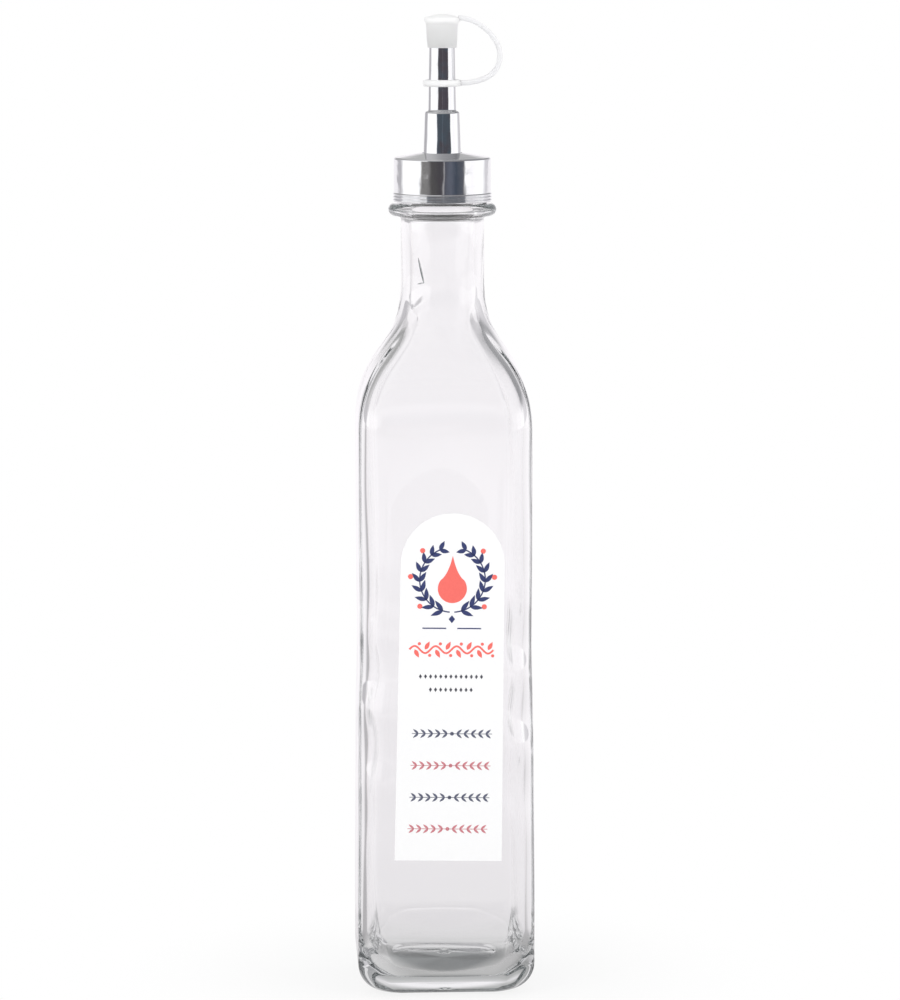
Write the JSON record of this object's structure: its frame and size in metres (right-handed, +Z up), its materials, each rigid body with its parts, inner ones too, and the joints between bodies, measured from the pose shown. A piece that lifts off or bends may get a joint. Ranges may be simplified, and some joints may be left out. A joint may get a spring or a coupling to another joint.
{
  "type": "oil cruet",
  "caption": "Square glass oil bottle with a paper label, a screw-on chromed pourer with a stepped spout, and a tip cap on a flexible tether.",
  "frame": {"origin": "middle of the base, on the plane that the bottle stands on", "axes": "+Z up along the bottle's axis, -Y out of the labelled face, +X towards the side that the cap's strap bows out to"},
  "size_m": [0.058, 0.0584, 0.3192],
  "materials": {
    "clear_glass": "gloss",
    "label_paper": "matte",
    "silicone": "satin",
    "white_plastic": "satin",
    "tube_plastic": "gloss",
    "polished_steel": "polished",
    "collar_chrome": "polished",
    "soft_plastic": "satin"
  },
  "bodies": {
    "bottle": {"glass_bottle": "clear_glass", "label": "label_paper"},
    "stopper": {"stopper": "white_plastic", "seal_washer": "silicone", "air_tube": "tube_plastic"},
    "spout": {"spout_tube": "polished_steel"},
    "collar": {"collar_shell": "collar_chrome", "collar_liner": "white_plastic"},
    "tether": {"tether_ring": "soft_plastic", "tether_strap": "soft_plastic"},
    "cap": {"tip_cap": "soft_plastic"}
  },
  "joints": [
    {"name": "pourer_lift", "type": "slide", "parent": "bottle", "child": "stopper", "axis": [0, 0, 1], "range_m": [0, 0.07]},
    {"name": "collar_rise", "type": "slide", "parent": "stopper", "child": "spout", "axis": [0, 0, 1], "range_m": [0, 0.0048]},
    {"name": "collar_turn", "type": "hinge", "parent": "spout", "child": "collar", "pos_m": [0, 0, 0.2587], "axis": [0, 0, 1], "range_deg": [0, 540]},
    {"name": "tether_swivel", "type": "hinge", "parent": "spout", "child": "tether", "pos_m": [0, 0, 0.297], "axis": [0, 0, 1], "continuous": true},
    {"name": "cap_lift", "type": "slide", "parent": "tether", "child": "cap", "axis": [0, 0, 1], "range_m": [0, 0.012], "deforming": ["tether_strap"]}
  ],
  "couplings": [
    {"joint": "collar_rise", "follows": "collar_turn", "m_per_rad": 0.000506}
  ]
}
